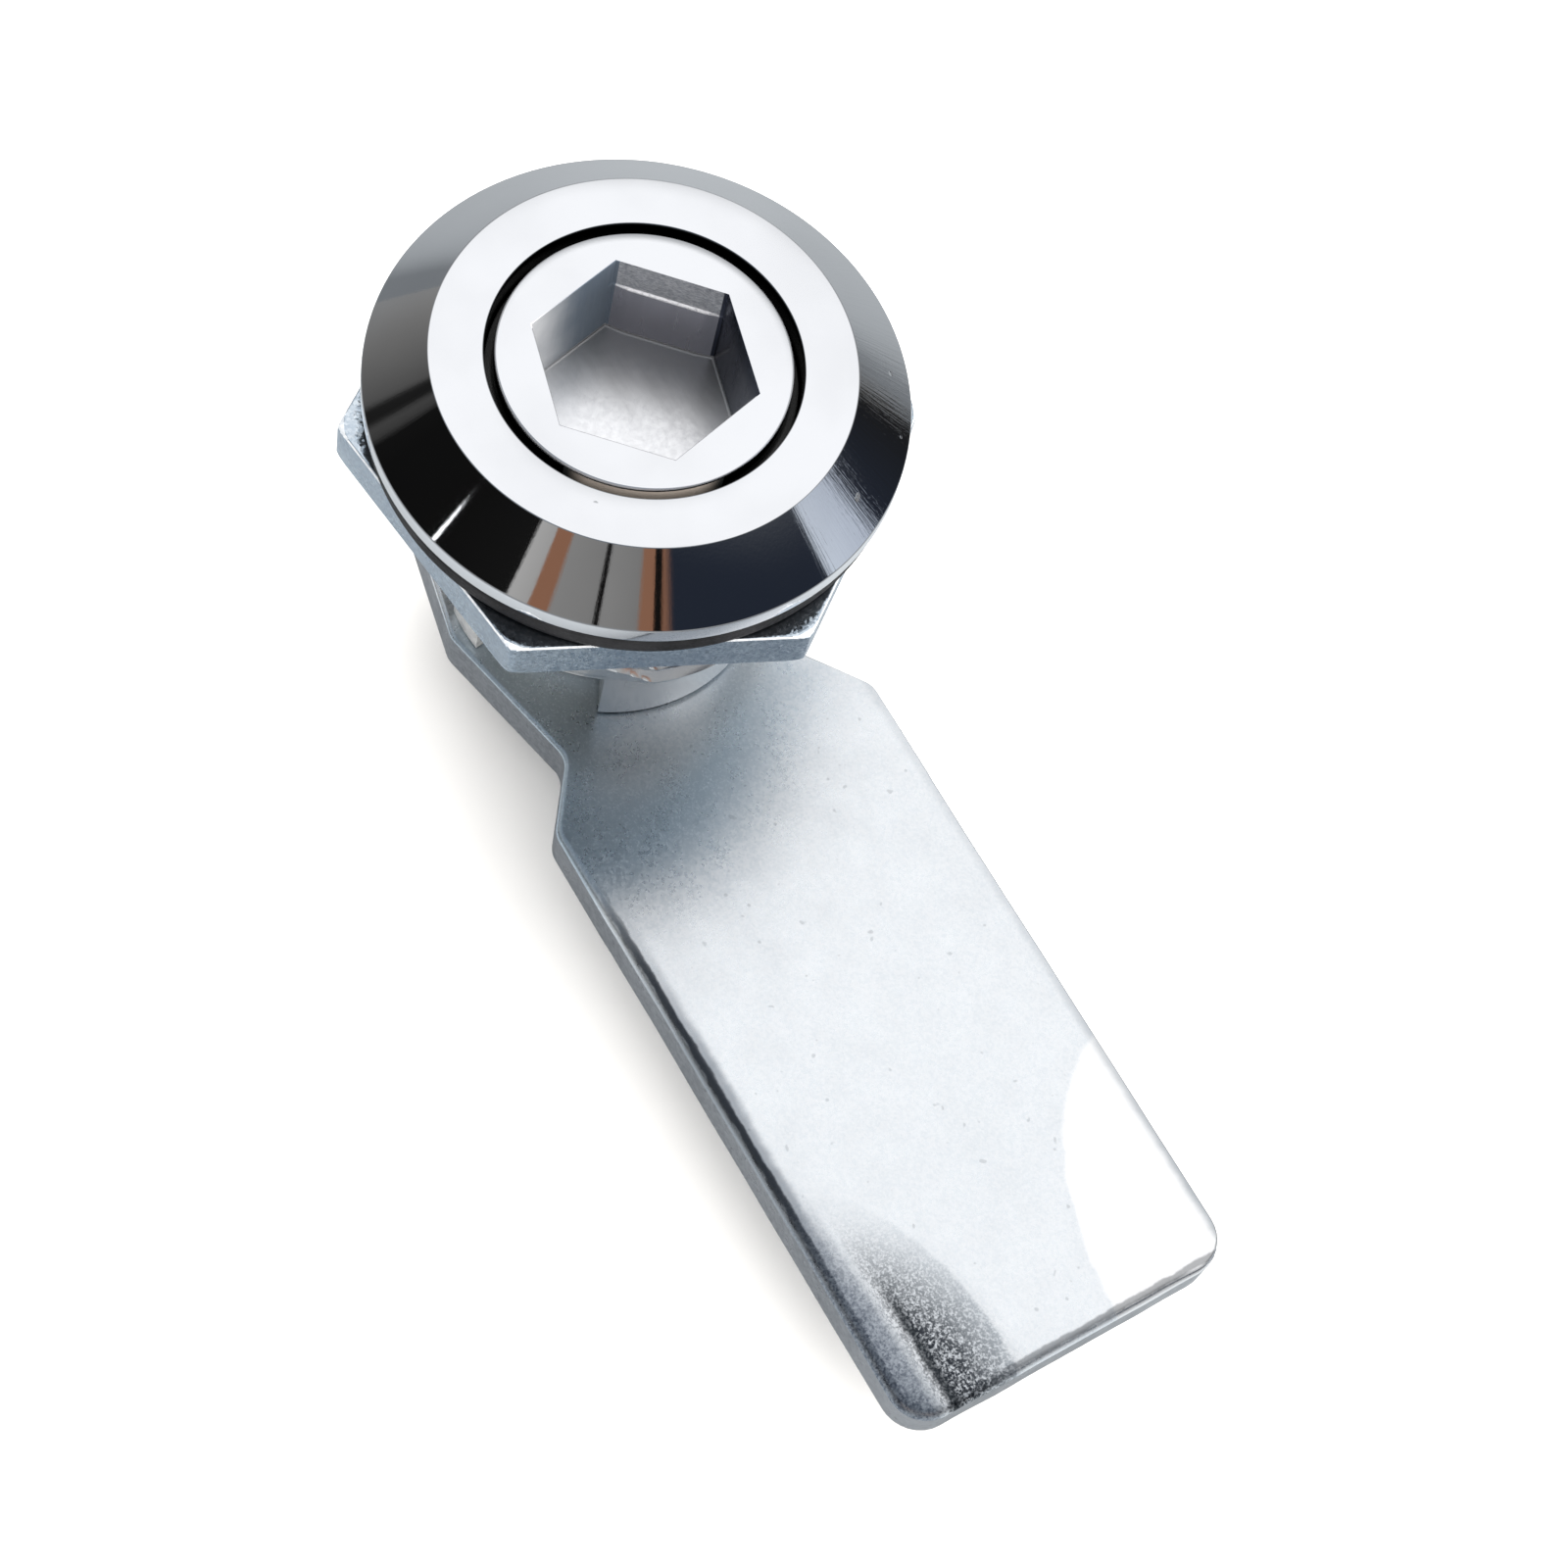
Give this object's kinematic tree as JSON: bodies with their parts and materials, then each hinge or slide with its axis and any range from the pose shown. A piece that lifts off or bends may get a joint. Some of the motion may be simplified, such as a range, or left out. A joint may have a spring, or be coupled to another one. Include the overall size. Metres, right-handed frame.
{
  "type": "quarter-turn cabinet lock",
  "caption": "Round flanged quarter-turn cabinet lock with a hexagonal key socket, rubber gasket, rear mounting nut and a flat stamped cam that swings a quarter turn.",
  "frame": {"origin": "on the lock's axis, at the front face of the panel that it is mounted in, which is the underside of the gasket", "axes": "+Z along the lock's axis out of the panel towards the key; +X along the cam as pictured, 5 degrees clockwise of the middle of its travel"},
  "size_m": [0.0675, 0.029, 0.0327],
  "materials": {
    "housing_chrome": "polished bright chrome on a die casting",
    "gasket_rubber": "matte black moulded rubber",
    "nut_zinc": "blue-white zinc plating with a fine grain",
    "spindle_chrome": "polished face, satin cast socket",
    "seal_rubber": "matte black seal ring",
    "stop_zinc": "zinc-plated stamping",
    "cam_zinc": "blue-white zinc plating with a fine speckle",
    "washer_zinc": "zinc-plated stamping",
    "lock_washer_steel": "dull spring steel",
    "bolt_zinc": "zinc-plated cold-headed bolt"
  },
  "bodies": {
    "lock_body": {"housing": "housing_chrome", "gasket": "gasket_rubber"},
    "clamp_nut": {"mounting_nut": "nut_zinc"},
    "turning_set": {"spindle": "spindle_chrome", "spindle_seal": "seal_rubber", "stop_washer": "stop_zinc", "cam": "cam_zinc", "flat_washer": "washer_zinc", "lock_washer": "lock_washer_steel", "cam_bolt": "bolt_zinc"}
  },
  "joints": [
    {"name": "quarter_turn", "type": "hinge", "parent": "lock_body", "child": "turning_set", "pos_m": [0, 0, 0], "axis": [0, 0, 1], "range_deg": [-40, 50]},
    {"name": "nut_run", "type": "slide", "parent": "lock_body", "child": "clamp_nut", "axis": [0, 0, -1], "range_m": [0, 0.008]}
  ]
}
